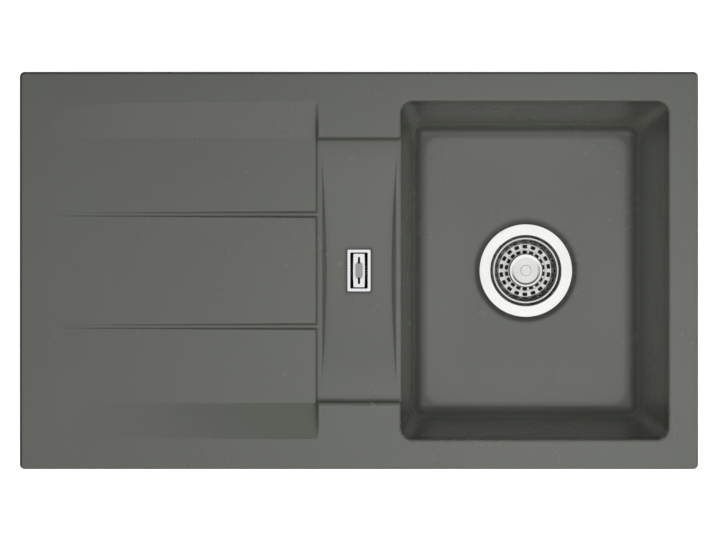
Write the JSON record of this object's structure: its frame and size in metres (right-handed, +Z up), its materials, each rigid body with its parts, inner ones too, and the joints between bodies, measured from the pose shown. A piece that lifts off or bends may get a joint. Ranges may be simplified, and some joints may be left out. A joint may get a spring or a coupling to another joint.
{
  "type": "inset kitchen sink",
  "caption": "Inset kitchen sink with a sloping grooved drainer, an overflow trough and a deep square bowl with a lift-out basket strainer, held to the worktop by swinging claws.",
  "frame": {"origin": "centre of the rim outline on the worktop plane, the underside of the rim seal", "axes": "+X from the drainer towards the bowl, +Y from front to back, +Z up out of the worktop"},
  "size_m": [0.78, 0.457, 0.307],
  "materials": {
    "body_ceramic": "matt grey",
    "seal_foam": "matt foam strip",
    "strainer_steel": "brushed",
    "fixing_steel": "turned",
    "bezel_chrome": "polished",
    "gasket_rubber": "matt",
    "waste_plastic": "moulded",
    "pipe_plastic": "moulded",
    "nut_plastic": "moulded",
    "insert_plastic": "moulded",
    "insert_brass": "turned",
    "clamp_zinc": "zinc plated"
  },
  "bodies": {
    "sink": {"sink_body": "body_ceramic", "rim_seal": "seal_foam", "waste_flange": "strainer_steel", "flange_gasket": "gasket_rubber", "waste_body": "waste_plastic", "body_gasket": "gasket_rubber", "waste_screw": "fixing_steel", "waste_insert": "insert_brass", "overflow_bezel": "bezel_chrome", "overflow_plate": "bezel_chrome", "overflow_screw": "fixing_steel", "overflow_gasket": "gasket_rubber", "overflow_housing": "waste_plastic", "overflow_pipe": "pipe_plastic", "upper_pipe_washer": "gasket_rubber", "lower_pipe_washer": "gasket_rubber", "upper_pipe_nut": "nut_plastic", "lower_pipe_nut": "nut_plastic", "clamp_inserts": "insert_plastic", "clamp_screws": "clamp_zinc"},
    "basket": {"basket": "strainer_steel", "basket_knob": "strainer_steel", "basket_stem": "fixing_steel", "basket_plug": "gasket_rubber", "plug_retainer": "strainer_steel"},
    "claw_back_left": {"claw_back_left": "clamp_zinc"},
    "claw_back_right": {"claw_back_right": "clamp_zinc"},
    "claw_front_left": {"claw_front_left": "clamp_zinc"},
    "claw_front_right": {"claw_front_right": "clamp_zinc"},
    "claw_drainer_end": {"claw_drainer_end": "clamp_zinc"},
    "claw_bowl_end": {"claw_bowl_end": "clamp_zinc"}
  },
  "joints": [
    {"name": "basket_lift", "type": "slide", "parent": "sink", "child": "basket", "axis": [0, 0, 1], "range_m": [0, 0.24]},
    {"name": "claw_back_left_swing", "type": "hinge", "parent": "sink", "child": "claw_back_left", "pos_m": [-0.21, 0.2095, -0.047], "axis": [0, 0, 1], "range_deg": [0, 90]},
    {"name": "claw_back_right_swing", "type": "hinge", "parent": "sink", "child": "claw_back_right", "pos_m": [0.21, 0.2095, -0.047], "axis": [0, 0, 1], "range_deg": [0, 90]},
    {"name": "claw_front_left_swing", "type": "hinge", "parent": "sink", "child": "claw_front_left", "pos_m": [-0.21, -0.2095, -0.047], "axis": [0, 0, 1], "range_deg": [0, 90]},
    {"name": "claw_front_right_swing", "type": "hinge", "parent": "sink", "child": "claw_front_right", "pos_m": [0.21, -0.2095, -0.047], "axis": [0, 0, 1], "range_deg": [0, 90]},
    {"name": "claw_drainer_end_swing", "type": "hinge", "parent": "sink", "child": "claw_drainer_end", "pos_m": [-0.371, 0, -0.047], "axis": [0, 0, 1], "range_deg": [0, 90]},
    {"name": "claw_bowl_end_swing", "type": "hinge", "parent": "sink", "child": "claw_bowl_end", "pos_m": [0.371, 0, -0.047], "axis": [0, 0, 1], "range_deg": [0, 90]}
  ]
}
